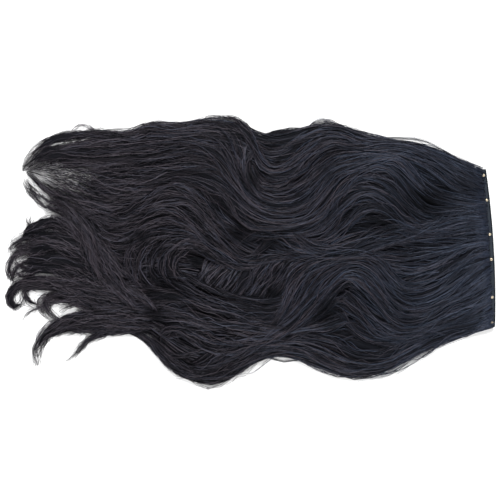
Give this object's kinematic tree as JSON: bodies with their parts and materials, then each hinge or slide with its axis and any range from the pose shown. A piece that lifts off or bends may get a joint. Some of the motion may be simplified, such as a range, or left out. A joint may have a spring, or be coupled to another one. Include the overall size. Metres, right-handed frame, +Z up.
{
  "type": "clip in hair extension",
  "caption": "Clip-in hair extension: long wavy dark hair sewn into a bowed weft tape, with flat comb clips riveted under the tape, laid out face up.",
  "frame": {"origin": "under the middle clip, halfway between its two rivets, on the surface that the extension lies on", "axes": "+X from the hair's ends to the weft, +Y towards the weft's left end as seen from the hair, +Z up through the hair"},
  "size_m": [0.5085, 0.2736, 0.0182],
  "materials": {
    "tape": "woven, matt",
    "hair": "combed fibres, soft sheen",
    "clip_steel": "black enamel, satin",
    "rivet_metal": "pale, satin"
  },
  "bodies": {
    "root": {"weft_band": "tape", "hair_locks": "hair", "clip_1": "clip_steel", "clip_2": "clip_steel", "clip_3": "clip_steel", "clip_1_rivet_a": "rivet_metal", "clip_1_rivet_b": "rivet_metal", "clip_2_rivet_a": "rivet_metal", "clip_2_rivet_b": "rivet_metal", "clip_3_rivet_a": "rivet_metal", "clip_3_rivet_b": "rivet_metal"}
  },
  "joints": []
}
